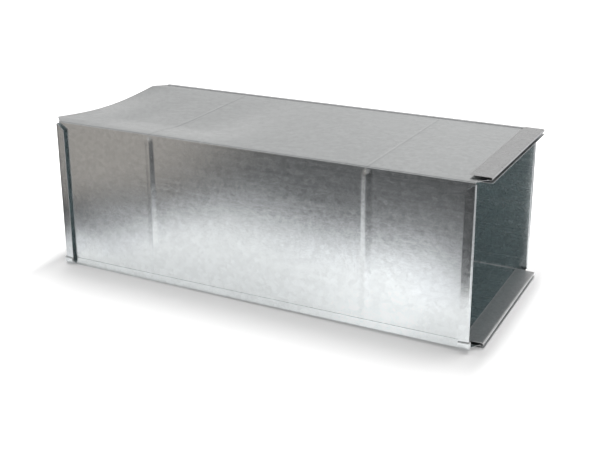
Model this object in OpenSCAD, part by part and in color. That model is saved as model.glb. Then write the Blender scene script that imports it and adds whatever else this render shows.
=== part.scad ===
// Rectangular sheet-metal duct section with lock-seamed corners, drive hems and S-cleats.
// Lengths are in millimetres. X runs along the duct, Y across it, Z up.
// Two identical L-shaped halves make the four walls. Each half is one folded sheet:
// a plain panel, a brake bend, and a side panel that ends in a lock pocket.

/* [Duct] */
// Width over the outer faces of the two side panels
duct_w = 254; // [150:1:500]
// Height over the outer faces of the top and bottom panels
duct_h = 203.2; // [120:0.1:400]
// Length of the sheet blanks, and of the top and bottom panels
blank_l = 609.6; // [450:0.1:1220]
// Thickness of the galvanised sheet
sheet_t = 0.55; // [0.4:0.05:0.9]
// Inside radius of the brake bend between two panels
bend_r = 0.8; // [0.4:0.1:3]

/* [Drive hems] */
// Depth of the hem folded back at each end of a side panel
hem_d = 12.7; // [9:0.1:20]
// Inside radius of the hem's fold, half of the slot that a drive cleat slides into
hem_r = 1.6; // [0.8:0.1:2.5]
// Drop of the slanted hem end next to the brake bend
hem_slant = 8; // [2:0.5:20]
// Side panel left unfolded between the brake bend and the hem
hem_relief = 1.2; // [0.5:0.1:6]

/* [Slip ends] */
// Width clipped off each corner of a top or bottom panel
corner_clip = 18; // [4:0.5:30]
// Shift of the top and bottom panels along the duct, against the side panels
slip_offset = -3; // [-5:0.5:5]

/* [Corner seams] */
// Inside depth of the lock pocket
pocket_d = 9.5; // [6:0.1:14]
// Room between the single flange and the bottom of the pocket
pocket_play = 1.5; // [0.8:0.1:3]
// Width of the pocket's lip, hammered over onto the next panel
lip_w = 6; // [3:0.1:10]
// Play between neighbouring layers of the seam
seam_play = 0.12; // [0.05:0.01:0.25]
// Turn of the side panel where it steps in over the top of the pocket
step_turn = 75; // [40:5:80]

/* [Stiffening beads] */
// Distance between the two beads
bead_pitch = 304.8; // [150:0.1:380]
// Offset of the pair of beads from the middle of the duct
bead_offset = 7; // [-30:0.5:30]
// Width of a bead on the panel's face
bead_w = 14; // [6:0.5:20]
// Height of a bead above the panel's face
bead_h = 1.2; // [0.8:0.1:2.4]
// Flat left between the end of a bead and the nearest fold or lip
bead_margin = 2; // [1:0.5:20]

/* [S-cleats] */
// Depth of a cleat along the duct
cleat_d = 26.5; // [20:0.5:40]
// Clear height of each of a cleat's two pockets
cleat_gap = 3.2; // [1.6:0.1:4]
// Reach of the lowest layer past the fold above it
cleat_reach = 0.8; // [0:0.1:6]
// Distance of a cleat's front end from the front face
cleat_front = 16; // [8:0.5:30]
// Distance of a cleat's back end from the back face
cleat_back = 7.5; // [6:0.5:30]
// Play between a panel and the cleat layer that it lies on
cleat_play = 0.15; // [0.05:0.05:0.3]
// Play between a panel's edge and the closed end of the cleat's pocket
cleat_end_play = 0.3; // [0.1:0.1:1]

/* [Hidden] */

galvanised = [0.72, 0.74, 0.75];
cleat_steel = [0.64, 0.66, 0.67];
// Straight steps in a quarter turn of a folded sheet, and from a bead's bar to the tip of its end
quarter_steps = 6;
ball_steps = 18;
$fn = 64;
tiny = 0.0001;

side = duct_w / 2;
top = duct_h / 2;
half_t = sheet_t / 2;

// Side panels run between their hem folds, the flat part between the folds' starts
side_l = blank_l - 2 * hem_d;
flat_end = side_l / 2 - hem_r - sheet_t;

// Centre lines of the seam's layers, measured in from the panels' outer faces.
// Outermost is the pocket's outer wall, then the single flange, the pocket's inner wall
// and the side panel itself, which steps in behind the pocket.
outer_wall = half_t;
flange = outer_wall + sheet_t + seam_play;
inner_wall = flange + sheet_t + seam_play;
stepped_panel = inner_wall + sheet_t + seam_play;
lip = -half_t - seam_play;

// Fold radii on the centre line, so that nested folds share their centres
lower_fold_r = (stepped_panel - inner_wall) / 2;
pocket_fold_r = (inner_wall - outer_wall) / 2;
flange_r = lower_fold_r + sheet_t + seam_play;
step_r = pocket_fold_r + sheet_t + seam_play;
lip_r = sheet_t;

lower_fold = half_t + sheet_t + seam_play;
pocket_top = pocket_d + half_t;
step_low = pocket_top - pocket_fold_r + step_r * tan(step_turn / 2);
step_high = step_low + (stepped_panel - outer_wall) * tan(90 - step_turn);
flange_l = pocket_d - pocket_play;

// A bead is a strip of a round bar that stands proud of the panel
bead_r = (bead_w * bead_w / 4 + bead_h * bead_h) / (2 * bead_h);
bead_depth = bead_r - bead_h;
bead_xs = [bead_offset - bead_pitch / 2, bead_offset + bead_pitch / 2];

// A cleat's closed end takes the panel's edge, and its layers stack from the panel down
cleat_fold_r = (cleat_gap + sheet_t) / 2;
cleat_right = blank_l / 2 + slip_offset + cleat_end_play + cleat_gap / 2 + sheet_t;
cleat_left = cleat_right - cleat_d;
cleat_layer = cleat_gap + sheet_t;
cleat_drop = cleat_play + 2 * sheet_t + cleat_gap;

// The origin lies under the middle of the whole part, on the floor
middle_x = (cleat_right + cleat_reach - blank_l / 2 + slip_offset) / 2;
floor_z = -top - cleat_drop;

// Plane vectors
function point(p) = [p[0], p[1]];
function heading(p, q) = (q - p) / norm(q - p);
function left_of(d) = [-d[1], d[0]];
function turned(v, a) = [v[0] * cos(a) - v[1] * sin(a), v[0] * sin(a) + v[1] * cos(a)];
function reversed(list) = [for (i = [len(list) - 1:-1:0]) list[i]];
function distinct(list) = [for (i = [0:len(list) - 1]) if (i == 0 || norm(list[i] - list[i - 1]) > tiny) list[i]];

// Arc that rounds the corner c, on the way from a to b, to the radius r
function rounded_corner(a, c, b, r) =
    let (
        arriving = heading(a, c),
        leaving = heading(c, b),
        turn = atan2(cross(arriving, leaving), arriving * leaving),
        start = c - r * tan(abs(turn) / 2) * arriving,
        centre = start + sign(turn) * r * left_of(arriving),
        steps = ceil(quarter_steps * abs(turn) / 90)
    )
    [for (i = [0:steps]) centre + turned(start - centre, turn * i / steps)];

// Centre line of a folded sheet, from a path of [across, up, radius] corners
function centre_line(path) =
    let (last = len(path) - 1)
    distinct([
        point(path[0]),
        for (i = [1:last - 1])
            each rounded_corner(point(path[i - 1]), point(path[i]), point(path[i + 1]), path[i][2]),
        point(path[last])
    ]);

// Line that runs beside a centre line, at the distance d to its left
function beside(line, d) =
    let (last = len(line) - 1)
    [for (i = [0:last])
        let (
            before = left_of(heading(line[max(i, 1) - 1], line[max(i, 1)])),
            after = left_of(heading(line[min(i, last - 1)], line[min(i, last - 1) + 1]))
        )
        line[i] + (before + after) * d / (1 + before * after)];

// Section of a sheet folded along a path
module folded_sheet(path) {
    line = centre_line(path);
    polygon(concat(beside(line, half_t), reversed(beside(line, -half_t))));
}

// Side panel from its step down through the pocket's folds
pocket_path = [
    [outer_wall - side, step_high - top, sheet_t],
    [stepped_panel - side, step_low - top, step_r],
    [stepped_panel - side, lower_fold - top, lower_fold_r],
    [inner_wall - side, lower_fold - top, lower_fold_r],
    [inner_wall - side, pocket_top - top, pocket_fold_r],
    [outer_wall - side, pocket_top - top, pocket_fold_r]
];

// Whole half: single flange, top panel, brake bend, side panel, pocket and lip
half_path = concat(
    [
        [side - flange, top - flange_l],
        [side - flange, top - half_t, flange_r],
        [half_t - side, top - half_t, bend_r + half_t]
    ],
    pocket_path,
    [
        [outer_wall - side, lip - top, lip_r],
        [lip_w - side, lip - top]
    ]
);

// The part of the side panel that is folded back as a hem
hem_top = top - sheet_t - bend_r - hem_relief;
hem_path = concat(
    [[half_t - side, hem_top]],
    pocket_path,
    [[outer_wall - side, sheet_t + seam_play - top]]
);

// Strip of a round bar with ball ends, along Y between the balls' centres,
// down to a depth below the panel's face at Z = 0
module bead(r, depth, from, to) {
    step = 90 / ball_steps;
    intersection() {
        translate([0, to, -bead_depth]) rotate([90, 0, 0]) rotate_extrude() polygon([
            for (a = [0:step:90]) [r * sin(a), -r * cos(a)],
            for (a = [0:step:90]) [r * cos(a), to - from + r * sin(a)]
        ]);
        translate([-bead_w, from - bead_w, -depth])
            cube([2 * bead_w, to - from + 2 * bead_w, depth + bead_w]);
    }
}

// Strips for the beads of the top panel and of the side panel
module beads(r, depth) {
    keep = bead_margin + bead_w / 2;
    bend_end = sheet_t + bend_r;
    for (x = bead_xs) {
        translate([x, 0, top]) bead(r, depth, bend_end + keep - side, side - lip_w - keep);
        translate([x, -side, 0])
            rotate([90, 0, 0]) bead(r, depth, step_high + keep - top, top - bend_end - keep);
    }
}

// Hem at the right end of the side panel, folded out round an upright axis
module drive_hem() {
    straight = hem_d - hem_r - sheet_t;
    translate([flat_end, -side - hem_r, 0]) rotate([0, 0, -90]) {
        rotate_extrude(angle = 180) hem_section();
        difference() {
            rotate([90, 0, 0]) linear_extrude(straight) hem_section();
            rotate([90, 0, 90]) linear_extrude(side)
                polygon([[0, hem_top], [0, top], [-hem_d, top], [-straight, hem_top - hem_slant]]);
        }
    }
}

// Section of the hem, at its distance from the fold's axis
module hem_section() {
    translate([side + hem_r, 0]) folded_sheet(hem_path);
}

// Plain right end of the top panel, up to the reach, with clipped corners
module slip_end(reach) {
    bend_edge = sheet_t + bend_r - side;
    seam_edge = side - flange - flange_r;
    translate([0, 0, top - sheet_t]) linear_extrude(sheet_t) polygon([
        [flat_end, bend_edge],
        [reach, bend_edge + corner_clip],
        [reach, seam_edge - corner_clip],
        [flat_end, seam_edge]
    ]);
}

// One L-shaped half, with its beads pressed outwards in the thickness of the sheet
module half_shell() {
    difference() {
        union() {
            rotate([90, 0, 90]) linear_extrude(2 * flat_end, center = true) folded_sheet(half_path);
            for (end = [0, 1]) mirror([end, 0, 0]) {
                drive_hem();
                slip_end(blank_l / 2 + (1 - 2 * end) * slip_offset);
            }
            beads(bead_r, half_t);
        }
        beads(bead_r - sheet_t, 2 * sheet_t);
    }
}

// S-folded cleat whose upper pocket holds a panel that has its underside at panel_z
module s_cleat(panel_z) {
    middle = panel_z - cleat_play - half_t;
    path = [
        [cleat_left, middle + cleat_layer],
        [cleat_right - half_t, middle + cleat_layer, cleat_fold_r],
        [cleat_right - half_t, middle, cleat_fold_r],
        [cleat_left + half_t, middle, cleat_fold_r],
        [cleat_left + half_t, middle - cleat_layer, cleat_fold_r],
        [cleat_right + cleat_reach, middle - cleat_layer]
    ];
    length = duct_w - cleat_front - cleat_back;
    translate([0, side - cleat_back, 0]) rotate([90, 0, 0]) linear_extrude(length) folded_sheet(path);
}

// From the middle of the section to the part's own origin
module placed() {
    translate([-middle_x, 0, -floor_z]) children();
}

module top_front_half() {
    color(galvanised) placed() half_shell();
}

module bottom_back_half() {
    color(galvanised) placed() rotate([180, 0, 0]) half_shell();
}

module top_s_cleat() {
    color(cleat_steel) placed() s_cleat(top - sheet_t);
}

module bottom_s_cleat() {
    color(cleat_steel) placed() s_cleat(-top);
}

top_front_half();
bottom_back_half();
top_s_cleat();
bottom_s_cleat();
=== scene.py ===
"""Looks of a galvanised rectangular duct section with drive hems and S-cleats."""

import math

import bpy
import numpy as np
from mathutils import Matrix, Vector


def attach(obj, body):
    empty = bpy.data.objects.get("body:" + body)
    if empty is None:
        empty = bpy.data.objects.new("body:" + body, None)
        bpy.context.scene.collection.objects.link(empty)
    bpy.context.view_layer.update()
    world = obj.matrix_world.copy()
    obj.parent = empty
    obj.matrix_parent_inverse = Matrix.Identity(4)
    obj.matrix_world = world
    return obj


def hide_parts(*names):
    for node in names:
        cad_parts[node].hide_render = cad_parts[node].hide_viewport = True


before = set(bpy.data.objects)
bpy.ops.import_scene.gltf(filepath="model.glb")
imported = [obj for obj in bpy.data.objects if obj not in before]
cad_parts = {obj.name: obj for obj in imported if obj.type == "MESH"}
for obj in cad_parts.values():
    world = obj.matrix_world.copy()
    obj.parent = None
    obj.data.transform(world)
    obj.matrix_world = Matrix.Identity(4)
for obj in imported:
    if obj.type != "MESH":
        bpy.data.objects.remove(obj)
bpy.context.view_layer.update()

# Sizes in millimetres, as in the part's source
DUCT_W, DUCT_H, BLANK_L = 254.0, 203.2, 609.6
SHEET_T, BEND_R = 0.55, 0.8
HEM_D, HEM_R, HEM_SLANT, HEM_RELIEF = 12.7, 1.6, 8.0, 1.2
CORNER_CLIP, SLIP_OFFSET = 18.0, -3.0
POCKET_D, POCKET_PLAY, LIP_W, SEAM_PLAY = 9.5, 1.5, 6.0, 0.12
STEP_TURN = math.radians(75)
BEAD_PITCH, BEAD_OFFSET, BEAD_W, BEAD_H, BEAD_MARGIN = 304.8, 7.0, 14.0, 1.2, 2.0
CLEAT_D, CLEAT_GAP, CLEAT_REACH = 26.5, 3.2, 0.8
CLEAT_FRONT, CLEAT_BACK, CLEAT_PLAY, CLEAT_END_PLAY = 16.0, 7.5, 0.15, 0.3

SIDE, TOP, HALF_T = DUCT_W / 2, DUCT_H / 2, SHEET_T / 2
FLAT_END = BLANK_L / 2 - HEM_D - HEM_R - SHEET_T
OUTER_WALL = HALF_T
FLANGE = OUTER_WALL + SHEET_T + SEAM_PLAY
INNER_WALL = FLANGE + SHEET_T + SEAM_PLAY
STEPPED = INNER_WALL + SHEET_T + SEAM_PLAY
LIP = -HALF_T - SEAM_PLAY
LOWER_FOLD_R = (STEPPED - INNER_WALL) / 2
POCKET_FOLD_R = (INNER_WALL - OUTER_WALL) / 2
FLANGE_R = LOWER_FOLD_R + SHEET_T + SEAM_PLAY
STEP_R = POCKET_FOLD_R + SHEET_T + SEAM_PLAY
LOWER_FOLD = HALF_T + SHEET_T + SEAM_PLAY
POCKET_TOP = POCKET_D + HALF_T
STEP_LOW = POCKET_TOP - POCKET_FOLD_R + STEP_R * math.tan(STEP_TURN / 2)
STEP_HIGH = STEP_LOW + (STEPPED - OUTER_WALL) / math.tan(STEP_TURN)
HEM_TOP = TOP - SHEET_T - BEND_R - HEM_RELIEF
BEND_END = SHEET_T + BEND_R
BEAD_XS = (BEAD_OFFSET - BEAD_PITCH / 2, BEAD_OFFSET + BEAD_PITCH / 2)
CLEAT_RIGHT = BLANK_L / 2 + SLIP_OFFSET + CLEAT_END_PLAY + CLEAT_GAP / 2 + SHEET_T
CLEAT_LEFT = CLEAT_RIGHT - CLEAT_D
CLEAT_LAYER = CLEAT_GAP + SHEET_T
CLEAT_FOLD_R = CLEAT_LAYER / 2
CLEAT_DROP = CLEAT_PLAY + 2 * SHEET_T + CLEAT_GAP
# From the middle of the section to the row frame
LEFT_END = SLIP_OFFSET - BLANK_L / 2
SHIFT = np.array([-(CLEAT_RIGHT + CLEAT_REACH + LEFT_END) / 2, 0.0, TOP + CLEAT_DROP])
MM = 0.001
# Longest steps of a section's points on the panels and elsewhere
PANEL_STEP, FOLD_STEP = 3.5, 3.0
# Material slots of a sheet: outer side, inner side, cut rim, and lighter zinc that paints a highlight
# along bends and free edges
OUTSIDE, INSIDE, CUT, WORN_HIGHLIGHT = 0, 1, 2, 3


# Folded sheets

def rounded(a, c, b, r, quarter_steps=6):
    """Points of the arc that rounds corner c, on the way from a to b."""
    arriving = (c - a) / np.linalg.norm(c - a)
    leaving = (b - c) / np.linalg.norm(b - c)
    turn = math.atan2(arriving[0] * leaving[1] - arriving[1] * leaving[0], arriving @ leaving)
    if abs(turn) < 1e-6:
        return [c]
    start = c - r * math.tan(abs(turn) / 2) * arriving
    centre = start + math.copysign(r, turn) * np.array([-arriving[1], arriving[0]])
    steps = math.ceil(quarter_steps * abs(turn) / (math.pi / 2))
    points = []
    for i in range(steps + 1):
        angle = turn * i / steps
        ray = start - centre
        points.append(centre + np.array([
            ray[0] * math.cos(angle) - ray[1] * math.sin(angle),
            ray[0] * math.sin(angle) + ray[1] * math.cos(angle)]))
    return points


def fold_line(path, spacing):
    """Centre line of a folded sheet: its points, and each point's stretch, or -1 on a bend."""
    corners = [np.array(p[:2], float) for p in path]
    arcs = [[corners[0]]]
    for i in range(1, len(path) - 1):
        arcs.append(rounded(corners[i - 1], corners[i], corners[i + 1], path[i][2]))
    arcs.append([corners[-1]])
    points, stretch = [], []

    def add(point, number):
        if not points or np.linalg.norm(point - points[-1]) > 1e-6:
            points.append(point)
            stretch.append(number)
        elif number >= 0:
            stretch[-1] = number

    for k in range(len(path) - 1):
        start, end = arcs[k][-1], arcs[k + 1][0]
        length = np.linalg.norm(end - start)
        if length > 1e-6:
            steps = max(1, math.ceil(length / spacing(k)))
            for i in range(steps + 1):
                add(start + (end - start) * i / steps, k)
        for point in arcs[k + 1][1:]:
            add(point, -1)
    return np.array(points), np.array(stretch)


def outward(points):
    """Unit normals to the right of a line's direction."""
    step = np.gradient(points, axis=0)
    normal = np.stack([step[:, 1], -step[:, 0]], axis=1)
    return normal / np.linalg.norm(normal, axis=1)[:, None]


def smooth(t):
    t = np.clip(t, 0.0, 1.0)
    return t * t * (3 - 2 * t)


class Sheet:
    """Middle surface of a sheet as patches that share their borders."""

    def __init__(self):
        self.points = []
        self.faces = []
        self.sides = []

    def add(self, points):
        """Adds an array of points and returns their numbers in the same layout."""
        shape = points.shape[:-1]
        first = len(self.points)
        self.points.extend(points.reshape(-1, 3))
        return np.arange(first, len(self.points)).reshape(shape)

    def join(self, numbers, sides=(OUTSIDE, INSIDE)):
        """Faces between the neighbours in a grid of numbers, with the material of each side."""
        a, b = numbers[:-1, :-1], numbers[1:, :-1]
        c, d = numbers[1:, 1:], numbers[:-1, 1:]
        quads = np.stack([a, b, c, d], axis=-1).reshape(-1, 4)
        self.faces.append(quads)
        self.sides.append(np.tile(sides, (len(quads), 1)))

    def solid(self, name, materials, thickness, place):
        """Closed shell of the sheet, with sharp rims, as an object in the row frame."""
        mid = place(np.array(self.points))
        quads = np.concatenate(self.faces)
        normal = np.zeros_like(mid)
        a, b, c, d = (mid[quads[:, corner]] for corner in range(4))
        face_normal = np.cross(c - a, d - b)
        face_normal /= np.linalg.norm(face_normal, axis=1)[:, None]
        for corner in range(4):
            np.add.at(normal, quads[:, corner], face_normal)
        normal /= np.linalg.norm(normal, axis=1)[:, None]
        count = len(mid)
        points = np.concatenate([mid + normal * thickness / 2, mid - normal * thickness / 2])
        edges = {}
        for quad in quads:
            for i in range(4):
                a, b = int(quad[i]), int(quad[(i + 1) % 4])
                if (b, a) in edges:
                    del edges[(b, a)]
                else:
                    edges[(a, b)] = True
        rim = np.array([(b, a, a + count, b + count) for a, b in edges])
        faces = np.concatenate([quads, quads[:, ::-1] + count, rim])
        mesh = bpy.data.meshes.new(name)
        mesh.from_pydata((points * MM).tolist(), [], faces.tolist())
        for material in materials:
            mesh.materials.append(material)
        mesh.polygons.foreach_set("use_smooth", np.ones(len(faces), bool))
        sides = np.concatenate(self.sides)
        slots = np.concatenate([sides[:, 0], sides[:, 1], np.full(len(rim), CUT)])
        mesh.polygons.foreach_set("material_index", slots.astype(np.int32))
        sharp = {tuple(sorted((a, b))) for a, b in edges}
        sharp |= {(a + count, b + count) for a, b in sharp}
        for edge in mesh.edges:
            if tuple(sorted(edge.vertices)) in sharp:
                edge.use_edge_sharp = True
        mesh.update()
        piece = bpy.data.objects.new(name, mesh)
        bpy.context.scene.collection.objects.link(piece)
        return piece


# The two L-shaped halves

# The lock seam is hammered tight where it shows
TIGHT_R, TIGHT_RISE, STEP_TOP_R = 0.12, 0.36, 0.3
HALF_PATH = [
    (SIDE - FLANGE, TOP - POCKET_D + POCKET_PLAY),
    (SIDE - FLANGE, TOP - HALF_T, FLANGE_R),
    (HALF_T - SIDE, TOP - HALF_T, BEND_R + HALF_T),
    (HALF_T - SIDE, HEM_TOP, 0.0),
    (OUTER_WALL - SIDE, STEP_HIGH - TOP, STEP_TOP_R),
    (STEPPED - SIDE, STEP_LOW - TOP, STEP_R),
    (STEPPED - SIDE, LOWER_FOLD - TOP, LOWER_FOLD_R),
    (INNER_WALL - SIDE, LOWER_FOLD - TOP, LOWER_FOLD_R),
    (INNER_WALL - SIDE, POCKET_TOP - TOP, POCKET_FOLD_R),
    (OUTER_WALL - SIDE, POCKET_TOP + TIGHT_RISE - TOP, TIGHT_R),
    (OUTER_WALL - SIDE, SHEET_T + SEAM_PLAY - TOP, 0.0),
    (OUTER_WALL - SIDE, LIP - TOP, SHEET_T),
    (LIP_W - SIDE, LIP - TOP),
]
PANEL, RELIEF, WALL, HEM_LAST = 1, 2, 3, 9
# How far the hems at the right and at the left end stand open
HEM_OPEN = {1: math.radians(5), -1: math.radians(4)}
# Bend of a hem's crushed foot, its height, and the length over which the hem opens above it
HEM_CRUSHED_R, HEM_CRUSHED_H, HEM_OPENS = 0.2, 1.5, 4.0
HEM_FOLD_STEPS, HEM_FLAT_STEPS, SLIP_STEPS = 10, 4, 5
# Rounding of a bead's crest and of its foot
BEAD_CREST, BEAD_FOOT = 1.0, 0.006
# Share of its height a bead keeps on the bend, and the lengths over which it rises and fades
BEAD_AT_BEND, BEAD_RISE, BEAD_FADE = 0.4, 9.0, 7.0
# Size of the beads on the top panel, and the length below the bend over which they widen
TOP_BEAD, BEAD_WIDENS = 0.36, 6.0
# Places along the plain duct, and across half a bead, which lie closer towards its crest
PLAIN_STATIONS, BEAD_STATIONS, CREST_POWER = 65, 16, 1.5


def bead_lift(x, narrow):
    """Height of the beads at x, with their size multiplied by narrow."""
    half_w = BEAD_W / 2
    slope = BEAD_H / (math.hypot(half_w, BEAD_CREST) - BEAD_CREST)
    lift = np.zeros_like(x + narrow)
    for centre in BEAD_XS:
        off = np.abs(x - centre) / narrow
        roof = slope * (math.hypot(half_w, BEAD_CREST) - np.sqrt(off * off + BEAD_CREST ** 2))
        soft = 0.5 * (roof + np.sqrt(roof * roof + BEAD_FOOT)) * smooth((BEAD_W - off) / half_w)
        lift = np.maximum(lift, soft * narrow)
    return lift


def bead_share(line, stretch):
    """Share of a bead's height at each point of a section: it runs over the bend and fades out."""
    y, z = line[:, 0], line[:, 1]
    from_bend = np.where(stretch == PANEL, y + SIDE, TOP - z) - BEND_END
    from_end = np.where(stretch == PANEL, SIDE - LIP_W - y, z + TOP - STEP_HIGH) - BEAD_MARGIN
    share = BEAD_AT_BEND + (1 - BEAD_AT_BEND) * smooth(from_bend / BEAD_RISE)
    share = share * smooth(from_end / BEAD_FADE)
    on_sheet = np.arange(len(line))
    first, last = np.where(stretch == PANEL)[0][0], np.where(stretch == WALL)[0][-1]
    return np.where((on_sheet >= first) & (on_sheet <= last), share, 0.0)


def stations():
    """Places along the duct, close together across the beads."""
    plain = np.linspace(-FLAT_END, FLAT_END, PLAIN_STATIONS)
    kept = [x for x in plain if all(abs(x - b) > BEAD_W + 1 for b in BEAD_XS)]
    steps = range(-BEAD_STATIONS, BEAD_STATIONS + 1)
    spread = [math.copysign(abs(i / BEAD_STATIONS) ** CREST_POWER, i) for i in steps]
    fine = [b + BEAD_W * s for b in BEAD_XS for s in spread]
    return np.array(sorted(kept + fine))


def half_sheet(warp_panel, panel_bead):
    """Middle surface of one half, about the middle of the section."""
    sheet = Sheet()
    line, stretch = fold_line(HALF_PATH, lambda k: PANEL_STEP if k in (PANEL, WALL) else FOLD_STEP)
    normal = outward(line)
    xs = stations()
    share = bead_share(line, stretch)
    past_panel = np.arange(len(line)) > np.where(stretch == PANEL)[0][-1]
    down = np.where(past_panel, smooth((TOP - line[:, 1] - BEND_END) / BEAD_WIDENS), 0.0)
    narrow = panel_bead + (1 - panel_bead) * down

    def lifted(x, rows):
        """Points of the given rows of the section at x, with beads and warps."""
        x = np.asarray(x, float)[None, :]
        y, z = line[rows, 0][:, None], line[rows, 1][:, None]
        kind = stretch[rows][:, None]
        lift = bead_lift(x, narrow[rows][:, None]) * share[rows][:, None]
        lift = lift + np.where(kind == PANEL, warp_panel(x, y), 0.0)
        full = np.broadcast_to
        return np.stack([
            full(x, lift.shape),
            full(y, lift.shape) + lift * normal[rows, 0][:, None],
            full(z, lift.shape) + lift * normal[rows, 1][:, None]], axis=-1)

    every = np.arange(len(line))
    main = sheet.add(lifted(xs, every))
    panel_rows = np.where(stretch == PANEL)[0]
    bend_first, bend_last = panel_rows[-1], np.where(stretch == RELIEF)[0][0]
    sheet.join(main[:bend_first + 1])
    # The bend's inner side takes lighter, rougher zinc, as crazed at a fold, that paints a highlight
    # line along the inner corner
    sheet.join(main[bend_first:bend_last + 1], (OUTSIDE, WORN_HIGHLIGHT))
    sheet.join(main[bend_last:])

    first, last = line[panel_rows[0], 0], line[panel_rows[-1], 0]
    across = (line[panel_rows, 0] - first) / (last - first)
    hem_first = np.where(stretch == WALL)[0][0]
    hem_last = np.where(stretch == HEM_LAST)[0][-1]
    hem_rows = np.arange(hem_first, hem_last + 1)
    inset = line[hem_rows, 0] + SIDE
    heights = line[hem_rows, 1]
    on_wall = heights >= STEP_HIGH - TOP
    on_wall &= inset < STEPPED - HALF_T
    on_wall &= np.arange(len(hem_rows)) <= np.where(stretch[hem_rows] == WALL)[0][-1]
    straight = HEM_D - HEM_R - SHEET_T

    for sign, column in ((1, -1), (-1, 0)):
        # Slip end with clipped corners
        reach = BLANK_L / 2 + sign * SLIP_OFFSET - FLAT_END
        columns = [main[panel_rows, column]]
        for step in range(1, SLIP_STEPS + 1):
            tau = step / SLIP_STEPS
            x = sign * (FLAT_END + reach * tau)
            y = (first - CORNER_CLIP * tau) * (1 - across) + (last + CORNER_CLIP * tau) * across
            lift = warp_panel(np.full_like(y, x), y)
            z = line[panel_rows, 1] + lift
            columns.append(sheet.add(np.stack([np.full_like(y, x), y, z], axis=-1)))
        grid = np.stack(columns if sign > 0 else columns[::-1], axis=1)
        sheet.join(grid)

        # Drive hem, folded out round an upright axis, with a slanted end
        # that is crushed shut at its foot, where the seam's layers are folded along
        columns = [main[hem_rows, column]]
        loose = smooth((heights + TOP - HEM_CRUSHED_H) / HEM_OPENS)
        bend = HEM_CRUSHED_R + (HEM_R - HEM_CRUSHED_R) * loose
        turn = math.pi - HEM_OPEN[sign] * loose
        ways = [(i / HEM_FOLD_STEPS, 0.0) for i in range(1, HEM_FOLD_STEPS + 1)]
        ways += [(1.0, straight * i / HEM_FLAT_STEPS) for i in range(1, HEM_FLAT_STEPS + 1)]
        for turned, run in ways:
            angle = turn * turned
            radius = bend + inset
            longer = run + (HEM_R - bend) * run / straight
            slide = (HEM_R - bend) * np.sin(np.minimum(angle, math.pi / 2))
            x = FLAT_END + slide + radius * np.sin(angle) + longer * np.cos(angle)
            y = -SIDE - bend + radius * np.cos(angle) - longer * np.sin(angle)
            top = HEM_TOP - HEM_SLANT * run / straight
            low = STEP_HIGH - TOP
            slanted = low + (heights - low) * (top - low) / (HEM_TOP - low)
            z = np.where(on_wall, slanted, heights)
            columns.append(sheet.add(np.stack([sign * x, y, z], axis=-1)))
        grid = np.stack(columns if sign > 0 else columns[::-1], axis=1)
        sheet.join(grid, (OUTSIDE, OUTSIDE))
    return sheet


# Sag of the top panel's free left end, in from the left bead
SAG, SAG_START = 8.0, BEAD_XS[0] - 6
# Dip in the left half of the top panel: its depth, the shares of the width over which it falls
# and rises, and where it starts at either end with the lengths over which it does
DIP, DIP_FALL, DIP_RISE = 4.5, 0.26, 0.72
DIP_LEFT, DIP_LEFT_RUN, DIP_RIGHT, DIP_RIGHT_RUN = -270, 70, -20, 90


def top_warp(x, y):
    """Sag and dip of the top panel."""
    across = np.clip((y + SIDE - CORNER_CLIP) / (DUCT_W - 2 * CORNER_CLIP), 0.0, 1.0)
    bow = np.sin(math.pi * across)
    outside = np.clip((SAG_START - x) / (SAG_START - LEFT_END), 0.0, 1.0)
    inward = (y + SIDE - BEND_END) / DUCT_W
    dished = smooth(inward / DIP_FALL) * smooth((1 - inward) / DIP_RISE)
    along = smooth((x - DIP_LEFT) / DIP_LEFT_RUN) * smooth((DIP_RIGHT - x) / DIP_RIGHT_RUN)
    return -SAG * bow * outside ** 2 - DIP * dished * along


def unwarped(x, y):
    return np.zeros(np.broadcast(x, y).shape)


def upright(points):
    return points + SHIFT


def turned_over(points):
    return points * np.array([1.0, -1.0, -1.0]) + SHIFT


# Width of the lighter strip along a cleat's free edge, worn-looking zinc that paints a highlight, and
# how far its lower pocket is pinched at the mouth
CLEAT_WORN_HIGHLIGHT, CLEAT_PINCH = 0.9, 1.3
CLEAT_STATIONS, CLEAT_MIDDLE = 60, 3


def s_cleat(panel_z):
    """Middle surface of a cleat whose upper pocket holds a panel with its underside at panel_z."""
    middle = panel_z - CLEAT_PLAY - HALF_T
    path = [
        (CLEAT_LEFT, middle + CLEAT_LAYER),
        (CLEAT_LEFT + CLEAT_WORN_HIGHLIGHT, middle + CLEAT_LAYER, 0.0),
        (CLEAT_RIGHT - HALF_T, middle + CLEAT_LAYER, CLEAT_FOLD_R),
        (CLEAT_RIGHT - HALF_T, middle, CLEAT_FOLD_R),
        (CLEAT_LEFT + HALF_T, middle, CLEAT_FOLD_R),
        (CLEAT_LEFT + HALF_T, middle - CLEAT_LAYER, CLEAT_FOLD_R),
        (CLEAT_RIGHT + CLEAT_REACH, middle - CLEAT_LAYER + CLEAT_PINCH),
    ]
    line, stretch = fold_line(path, lambda k: FOLD_STEP)
    ys = np.linspace(CLEAT_FRONT - SIDE, SIDE - CLEAT_BACK, CLEAT_STATIONS)
    shape = (len(line), len(ys))
    sheet = Sheet()
    numbers = sheet.add(np.stack([
        np.broadcast_to(line[:, 0][:, None], shape),
        np.broadcast_to(ys[None, :], shape),
        np.broadcast_to(line[:, 1][:, None], shape)], axis=-1))
    # The upper pocket, on the sheet's inner side, takes dark zinc, a painted shade in the recess; the
    # free edge's strip takes the lighter zinc that paints a highlight, and the lower layer has the
    # cleat's own zinc on both sides
    cuts = [0, 1, np.where(stretch == CLEAT_MIDDLE)[0][-1], len(line) - 1]
    kinds = ((WORN_HIGHLIGHT, INSIDE), (OUTSIDE, INSIDE), (OUTSIDE, OUTSIDE))
    for first, last, sides in zip(cuts, cuts[1:], kinds):
        sheet.join(numbers[first:last + 1], sides)
    return sheet


# Materials

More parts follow.
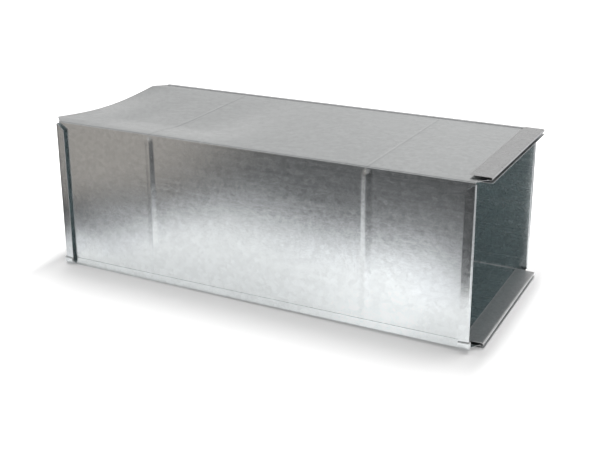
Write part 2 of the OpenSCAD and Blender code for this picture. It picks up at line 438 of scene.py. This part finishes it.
class Nodes:
    """Short calls for building a node tree."""

    def __init__(self, tree):
        self.tree = tree
        tree.nodes.clear()

    def add(self, kind, inputs=None, **settings):
        made = self.tree.nodes.new(kind)
        for name, value in settings.items():
            setattr(made, name, value)
        for name, value in (inputs or {}).items():
            self.put(made.inputs[name], value)
        return made

    def put(self, socket, value):
        if isinstance(value, bpy.types.NodeSocket):
            self.tree.links.new(value, socket)
        else:
            socket.default_value = value

    def math(self, operation, a, b=0.0, clamp=False):
        made = self.add("ShaderNodeMath", operation=operation, use_clamp=clamp)
        self.put(made.inputs[0], a)
        self.put(made.inputs[1], b)
        return made.outputs[0]

    def span(self, value, low, high, out_low, out_high):
        made = self.add("ShaderNodeMapRange", {
            "Value": value, "From Min": low, "From Max": high, "To Min": out_low, "To Max": out_high})
        return made.outputs["Result"]

    def length(self, a):
        return self.add("ShaderNodeVectorMath", {0: a}, operation="LENGTH").outputs["Value"]

    def vector(self, operation, a, b=None, scale=None):
        made = self.add("ShaderNodeVectorMath", operation=operation)
        self.put(made.inputs[0], a)
        if b is not None:
            self.put(made.inputs[1], b)
        if scale is not None:
            self.put(made.inputs["Scale"], scale)
        return made.outputs[0]


# Scales of the coating's patterns: crystals, specks, clouds, mottles, rolling streaks, fine grain
CRYSTALS, SMALL_CRYSTALS, WOBBLE = 190.0, 520.0, 260
SPECKS, CLOUDS, MOTTLES, STREAKS, FINE = 34.0, 9, 700, 40, 1500
STREAK_STRETCH = (0.12, 9.0, 9.0)
# Middle range of a noise's values
LOW, HIGH = 0.3, 0.7
# How far the crystals tilt the surface, and how far their outlines wander, in metres
CRYSTAL_TILT, SMALL_TILT, WANDER = 0.008, 0.020, 0.004


def galvanised(name, tint, roughness, spangle, grain=1.0, mottle=0.02):
    """Zinc-coated sheet: spangle, rolling streaks, faint clouds, mottles and specks."""
    material = bpy.data.materials.new(name)
    material.use_nodes = True
    n = Nodes(material.node_tree)
    place = n.add("ShaderNodeTexCoord").outputs["Object"]

    def noise(scale, detail=2.0, stretch=(1, 1, 1), rough=0.5):
        moved = n.add("ShaderNodeMapping", {"Vector": place, "Scale": stretch}).outputs[0]
        made = n.add("ShaderNodeTexNoise", {
            "Vector": moved, "Scale": scale, "Detail": detail, "Roughness": rough})
        return made

    # Crystals of the zinc, a few millimetres across, each lying a little differently
    wobble = n.vector("SCALE", noise(WOBBLE).outputs["Color"], scale=WANDER)
    cells = n.add("ShaderNodeTexVoronoi", {
        "Vector": n.vector("ADD", place, wobble), "Scale": CRYSTALS, "Randomness": 1.0})
    crystal = n.add("ShaderNodeSeparateColor", {"Color": cells.outputs["Color"]})
    small = n.add("ShaderNodeTexVoronoi", {"Vector": place, "Scale": SMALL_CRYSTALS, "Randomness": 1.0})
    tilt = n.vector("SUBTRACT", cells.outputs["Color"], (0.5, 0.5, 0.5))
    small_tilt = n.vector("SUBTRACT", small.outputs["Color"], (0.5, 0.5, 0.5))
    tilts = n.vector("ADD", n.vector("SCALE", tilt, scale=CRYSTAL_TILT * spangle),
                     n.vector("SCALE", small_tilt, scale=SMALL_TILT * grain))

    clouds = noise(CLOUDS, 3).outputs["Fac"]
    mottles = noise(MOTTLES, 3, rough=0.7).outputs["Fac"]
    streaks = noise(STREAKS, 3, STREAK_STRETCH).outputs["Fac"]
    fine = noise(FINE).outputs["Fac"]

    shade = n.span(crystal.outputs[0], 0, 1, 1 - 0.06 * spangle, 1 + 0.03 * spangle)
    shade = n.math("MULTIPLY", shade, n.span(clouds, LOW, HIGH, 0.985, 1.015))
    shade = n.math("MULTIPLY", shade, n.span(mottles, LOW, HIGH, 1 - mottle, 1 + mottle))
    shade = n.math("MULTIPLY", shade, n.span(streaks, LOW, HIGH, 0.985, 1.012))

    # A few dark specks in the coating
    spots = n.add("ShaderNodeTexVoronoi", {"Vector": place, "Scale": SPECKS, "Randomness": 1.0})
    spot_kind = n.add("ShaderNodeSeparateColor", {"Color": spots.outputs["Color"]})
    near = n.span(spots.outputs["Distance"], 0.012, 0.03, 1.0, 0.0)
    rare = n.span(spot_kind.outputs[1], 0.55, 0.6, 0.0, 1.0)
    speck = n.math("MULTIPLY", near, rare, clamp=True)
    shade = n.math("MULTIPLY", shade, n.span(speck, 0, 1, 1.0, 0.55))

    colour = n.vector("SCALE", tint, scale=shade)

    rough = n.span(crystal.outputs[1], 0, 1, roughness - 0.03 * spangle, roughness + 0.03 * spangle)
    rough = n.math("ADD", rough, n.span(fine, LOW, HIGH, -0.02 * grain, 0.02 * grain))
    rough = n.math("ADD", rough, n.span(streaks, LOW, HIGH, -0.02, 0.03))
    rough = n.math("ADD", rough, n.math("MULTIPLY", speck, 0.3), clamp=True)

    bump = n.add("ShaderNodeBump", {"Strength": 0.25, "Distance": 0.0004,
                                    "Height": n.math("ADD", fine, n.math("MULTIPLY", streaks, 0.15))})
    facing = n.vector("NORMALIZE", n.vector("ADD", bump.outputs[0], tilts))

    shader = n.add("ShaderNodeBsdfPrincipled", {
        "Base Color": colour, "Metallic": 1.0, "Roughness": rough, "Normal": facing})
    n.add("ShaderNodeOutputMaterial", {"Surface": shader.outputs[0]})
    return material


TINT = (0.80, 0.832, 0.838)
duct_zinc = galvanised("duct_zinc", TINT, 0.17, 1.0)
duct_inside = galvanised(
    "duct_inside", (0.785, 0.832, 0.84), 0.24, 0.6, grain=1.8, mottle=0.3)
cleat_zinc = galvanised("cleat_zinc", (0.76, 0.775, 0.78), 0.30, 1.0, mottle=0.14)
low_cleat_zinc = galvanised("low_cleat_zinc", (0.755, 0.765, 0.77), 0.48, 1.0, mottle=0.14)
# Dark, dull zinc inside the cleats' upper pockets: painted shade in the recess
cleat_pocket_shade = galvanised("cleat_pocket_shade", (0.26, 0.265, 0.27), 0.55, 1.0)
# Cut edges are tinted lighter than the zinc: a painted highlight along them
cut_edge = galvanised("cut_edge", (0.92, 0.925, 0.93), 0.7, 0.5)
# Lighter, rougher zinc along inner bends and cleat free edges: partly worn zinc, partly a painted
# highlight
worn_bend_highlight = galvanised("worn_bend_highlight", (0.9, 0.9, 0.9), 0.6, 0.5)

# Pieces

pieces = [
    (half_sheet(top_warp, TOP_BEAD), "top_front_half", upright, duct_zinc, duct_inside, "duct_sheet"),
    (half_sheet(unwarped, 1.0), "bottom_back_half", turned_over, duct_zinc, duct_inside, "duct_sheet"),
    (s_cleat(TOP - SHEET_T), "top_s_cleat", upright, cleat_zinc, cleat_pocket_shade, "cleat_sheet"),
    (s_cleat(-TOP), "bottom_s_cleat", upright, low_cleat_zinc, cleat_pocket_shade, "cleat_sheet"),
]
for sheet, node, place, outside, inside, slot in pieces:
    piece = sheet.solid(node + "_sheet", [outside, inside, cut_edge, worn_bend_highlight], SHEET_T, place)
    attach(piece, "root")
    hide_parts(node)

# Stage


def stage_mesh(name, points, faces, material):
    mesh = bpy.data.meshes.new(name)
    mesh.from_pydata(points, [], faces)
    mesh.materials.append(material)
    made = bpy.data.objects.new(name, mesh)
    bpy.context.scene.collection.objects.link(made)
    return made


# Half the part's footprint, and how much more a distance counts along the duct than across it
FOOTPRINT, ALONG_MORE = (0.306, 0.131, 1.0), (4.5, 1.0, 0.0)


def floor_material():
    """White floor that keeps the shadow near the part and is plain white further out. Its glow is
    painted light that ends the shadow close to the part, and the metal sees it in tones of its own, a
    painted reflection.
    """
    material = bpy.data.materials.new("floor_white")
    material.use_nodes = True
    n = Nodes(material.node_tree)
    path = n.add("ShaderNodeLightPath")
    mirrored = path.outputs["Is Glossy Ray"]
    seen = n.math("MAXIMUM", path.outputs["Is Camera Ray"], mirrored)
    seen = n.math("MAXIMUM", seen, path.outputs["Is Transmission Ray"])
    place = n.add("ShaderNodeTexCoord").outputs["Object"]
    # Distance outside the part's footprint
    aside = n.vector("SUBTRACT", n.vector("ABSOLUTE", place), FOOTPRINT)
    aside = n.vector("MULTIPLY", n.vector("MAXIMUM", aside, (0, 0, 0)), ALONG_MORE)
    far = n.length(aside)
    # Painted light: a glow that takes the floor from its shadow to plain white and ends the shadow
    # close to the part
    direct = n.math("ADD", n.span(far, 0.02, 0.10, 0.0, 0.34), n.span(far, 0.10, 0.30, 0.0, 0.12))
    direct = n.math("ADD", direct, n.span(far, 0.0, 0.02, 0.15, 0.17))
    # Painted reflection: a glow that only the metal sees, uneven along the duct and dark at the contact
    # as painted shade
    along = n.add("ShaderNodeSeparateXYZ", {"Vector": place}).outputs["X"]
    in_metal = n.math("ADD", n.span(far, 0.0, 0.08, 0.25, 0.18), n.span(along, -0.02, 0.16, 0.0, 0.26))
    in_metal = n.math("ADD", in_metal, n.math("MULTIPLY", n.span(far, 0.0, 0.14, 0.09, 0.0),
                                              n.span(along, -0.05, 0.05, 1.0, 0.0)))
    in_metal = n.math("ADD", in_metal, n.span(along, 0.20, 0.245, 0.0, -0.17))
    in_metal = n.math("ADD", in_metal, n.span(along, -0.36, -0.26, -0.15, 0.0))
    in_metal = n.math("MULTIPLY", in_metal, n.span(far, 0.0, 0.004, 0.2, 1.0))
    lift = n.math("ADD", n.math("MULTIPLY", direct, n.math("SUBTRACT", 1.0, mirrored)),
                  n.math("MULTIPLY", in_metal, mirrored))
    matt = n.add("ShaderNodeBsdfDiffuse", {"Color": (0.88, 0.88, 0.88, 1)})
    glow = n.add("ShaderNodeEmission", {"Color": (1, 1, 1, 1), "Strength": lift})
    white = n.add("ShaderNodeAddShader", {0: matt.outputs[0], 1: glow.outputs[0]})
    mixed = n.add("ShaderNodeMixShader", {0: seen, 1: matt.outputs[0], 2: white.outputs[0]})
    n.add("ShaderNodeOutputMaterial", {"Surface": mixed.outputs[0]})
    return material


FLOOR_HALF = 8.0
# The floor leans so that the part rests on its lower cleat and its left bead
REST_X = 0.2938
LEAN = (CLEAT_DROP - BEAD_H) * MM / (REST_X - (BEAD_XS[0] + SHIFT[0]) * MM)


def floor_z(x):
    """Height of the floor at x."""
    return LEAN * (REST_X - x)


floor_points = [(sx * FLOOR_HALF, sy * FLOOR_HALF, floor_z(sx * FLOOR_HALF))
                for sx, sy in ((-1, -1), (1, -1), (1, 1), (-1, 1))]
stage_mesh("floor", floor_points, [(0, 1, 2, 3)], floor_material())

# Dark cards round the lit part of the floor. Only the metal sees them, as in a product studio: they
# glow in their tones and paint the reflections in the metal.
CARD_EDGE = [(-376, -236), (-343, -292), (-332, -382), (-287, -432), (-239, -482), (-157, -473),
             (-73, -450), (8, -429), (71, -436), (144, -437), (201, -432), (242, -381),
             (275, -351), (306, -322)]
SIDE_CARD = [(-420, 420), (-420, 140), (-420, -140), (-420, -420)]
WARM_CARD = [(-480, -293), (-379, -410), (-323, -469), (-397, -680), (-1083, -2875),
             (-2900, -2875), (-2900, -1714)]
HEM_CARD = [(255, -282), (237, -350), (215, -440), (190, -540), (150, -760), (330, -760), (300, -282)]
RIGHT_CARD = [(470, -520), (470, -300), (470, -120), (470, 120), (470, 420)]
SOFT_CARD_HEIGHT, PLAIN_CARD_HEIGHT = 4.0, 8.0
# Where a soft card's left tone starts to turn into its right tone, and over which length
TONE_FROM, TONE_RUN = -160, 200
BLUISH = 1.02


def card_material(name):
    """Glow in the tones of the card's points."""
    material = bpy.data.materials.new(name)
    material.use_nodes = True
    n = Nodes(material.node_tree)
    colour = n.add("ShaderNodeVertexColor", layer_name="tone").outputs["Color"]
    glow = n.add("ShaderNodeEmission", {"Color": colour, "Strength": 1.0})
    n.add("ShaderNodeOutputMaterial", {"Surface": glow.outputs[0]})
    return material


def only_in_metal(made):
    made.visible_camera = False
    made.visible_diffuse = False
    made.visible_transmission = False
    made.visible_volume_scatter = False
    made.visible_shadow = False


def tone_card(name, rows, tones, height):
    """Card of rows of points in millimetres, with a tone for each point."""
    count = len(rows[0])
    points = [(x * MM, y * MM, floor_z(x * MM) + height * MM) for row in rows for x, y in row]
    faces = [(r * count + i, r * count + i + 1, (r + 1) * count + i + 1, (r + 1) * count + i)
             for r in range(len(rows) - 1) for i in range(count - 1)]
    made = stage_mesh(name, points, faces, card_material(name))
    layer = made.data.color_attributes.new("tone", "FLOAT_COLOR", "POINT")
    layer.data.foreach_set("color", [v for tone in tones for v in (*tone, 1.0)])
    only_in_metal(made)
    return made


def grown(row, by):
    """Points of a row moved away from the middle."""
    out = []
    for x, y in row:
        length = math.hypot(x, y)
        out.append((x * (1 + by / length), y * (1 + by / length)))
    return out


# Distance outside a card's edge, and the tone there at its left and at its right end
DARK_RINGS = [
    (-145, 0.82, 1.12), (-105, 0.80, 1.12), (-75, 0.66, 0.82), (-46, 0.35, 0.48), (-15, 0.17, 0.31),
    (17, 0.12, 0.235), (60, 0.09, 0.20), (110, 0.09, 0.19), (160, 0.10, 0.15), (240, 0.12, 0.06),
    (320, 0.12, 0.04), (1200, 0.10, 0.035), (5000, 0.06, 0.03)]
BACK_RINGS = [
    (-145, 0.82, 1.12), (-105, 0.80, 1.12), (-75, 0.66, 0.82), (-46, 0.46, 0.48), (-15, 0.24, 0.31),
    (17, 0.16, 0.23), (60, 0.16, 0.2), (110, 0.2, 0.22), (160, 0.28, 0.28), (240, 0.42, 0.42),
    (320, 0.55, 0.55), (1200, 0.6, 0.6), (5000, 0.6, 0.6)]
GREY_RINGS = [(-60, 1.0, 1.0), (0, 0.7, 0.7), (60, 0.5, 0.5), (2000, 0.45, 0.45)]


def soft_card(name, edge, rings, turned=1):
    """Card from an edge outwards, with the tones of its rings."""
    rows, tones = [], []
    for by, left_tone, right_tone in rings:
        rows.append([(x * turned, y * turned) for x, y in grown(edge, by)])
        for x, _ in edge:
            share = float(smooth((x - TONE_FROM) / TONE_RUN))
            level = left_tone * (1 - share) + right_tone * share
            tones.append((level, level, level * BLUISH))
    tone_card(name, rows, tones, SOFT_CARD_HEIGHT)


def plain_card(name, outline, tone):
    """Card of one tone inside an outline."""
    middle = tuple(sum(p[i] for p in outline) / len(outline) for i in (0, 1))
    closed = outline + outline[:1]
    rows = [closed, [middle] * len(closed)]
    tone_card(name, rows, [tone] * (2 * len(closed)), PLAIN_CARD_HEIGHT)


soft_card("front_card", CARD_EDGE, DARK_RINGS)
soft_card("back_card", CARD_EDGE, BACK_RINGS, -1)
soft_card("left_card", SIDE_CARD, DARK_RINGS)
soft_card("right_card", RIGHT_CARD, GREY_RINGS)
# The warm card paints a brownish reflection in the front panel's left part, and the hem card a dark
# reflection in the right hem
plain_card("warm_card", WARM_CARD, (0.385, 0.355, 0.33))
plain_card("hem_card", HEM_CARD, (0.07, 0.07, 0.072))

world = bpy.data.worlds.new("studio")
bpy.context.scene.world = world
world.use_nodes = True
w = Nodes(world.node_tree)
way = w.add("ShaderNodeTexCoord").outputs["Generated"]
height = w.add("ShaderNodeSeparateXYZ", {"Vector": way}).outputs["Z"]
# The light falls off with height and towards the left.
# Overhead it is dim for the floor's sake, and less so in the metal.
mirrored = w.add("ShaderNodeLightPath").outputs["Is Glossy Ray"]
dimmed = w.math("MULTIPLY", w.span(height, 0.72, 0.90, 0.0, -0.34), w.span(mirrored, 0, 1, 1.0, 0.5))
level = w.math("ADD", w.span(height, 0.0, 0.45, 0.70, 0.42), dimmed)
sideways = w.add("ShaderNodeSeparateXYZ", {"Vector": way}).outputs["X"]
level = w.math("MULTIPLY", level, w.span(sideways, -0.42, -0.32, 1.0, 1.09))
level = w.math("MULTIPLY", level, w.span(sideways, -0.62, -0.52, 0.93, 1.0))
back = w.add("ShaderNodeBackground", {"Color": (1.0, 0.985, 0.98, 1), "Strength": level})
w.add("ShaderNodeOutputWorld", {"Surface": back.outputs[0]})


def area_lamp(name, place, aim, size, power):
    data = bpy.data.lights.new(name, "AREA")
    data.shape = "RECTANGLE"
    data.size, data.size_y = size
    data.energy = power
    made = bpy.data.objects.new(name, data)
    made.location = place
    made.rotation_mode = "QUATERNION"
    made.rotation_quaternion = (Vector(aim) - Vector(place)).to_track_quat("-Z", "Y")
    bpy.context.scene.collection.objects.link(made)
    return made


overhead = area_lamp("overhead", (0.0, 0.5, 2.2), (0, 0, 0), (3.0, 2.2), 52)
overhead.visible_glossy = False

# Camera at the photograph's viewing angle
azimuth, elevation, roll = math.radians(24.726), math.radians(17.103), math.radians(0.632)
back_way = Vector((math.sin(azimuth) * math.cos(elevation),
                   -math.cos(azimuth) * math.cos(elevation), math.sin(elevation)))
camera_data = bpy.data.cameras.new("camera")
camera_data.sensor_width = 36.0
camera_data.lens = 58.578
# The photograph's upright edges run more nearly parallel than a level-held frame gives
camera_data.shift_x, camera_data.shift_y = -0.0833, -0.1033
camera = bpy.data.objects.new("camera", camera_data)
camera.location = (0.590854, -1.107401, 0.540941)
camera.rotation_mode = "QUATERNION"
turn = (-back_way).to_track_quat("-Z", "Y").to_matrix() @ Matrix.Rotation(roll, 3, "Z")
camera.rotation_quaternion = turn.to_quaternion()
bpy.context.scene.collection.objects.link(camera)
bpy.context.scene.camera = camera

bpy.context.scene.view_settings.view_transform = "Standard"
# Light that goes down the duct is mirrored many times before it leaves
BOUNCES = 24
bpy.context.scene.cycles.max_bounces = BOUNCES
bpy.context.scene.cycles.glossy_bounces = BOUNCES
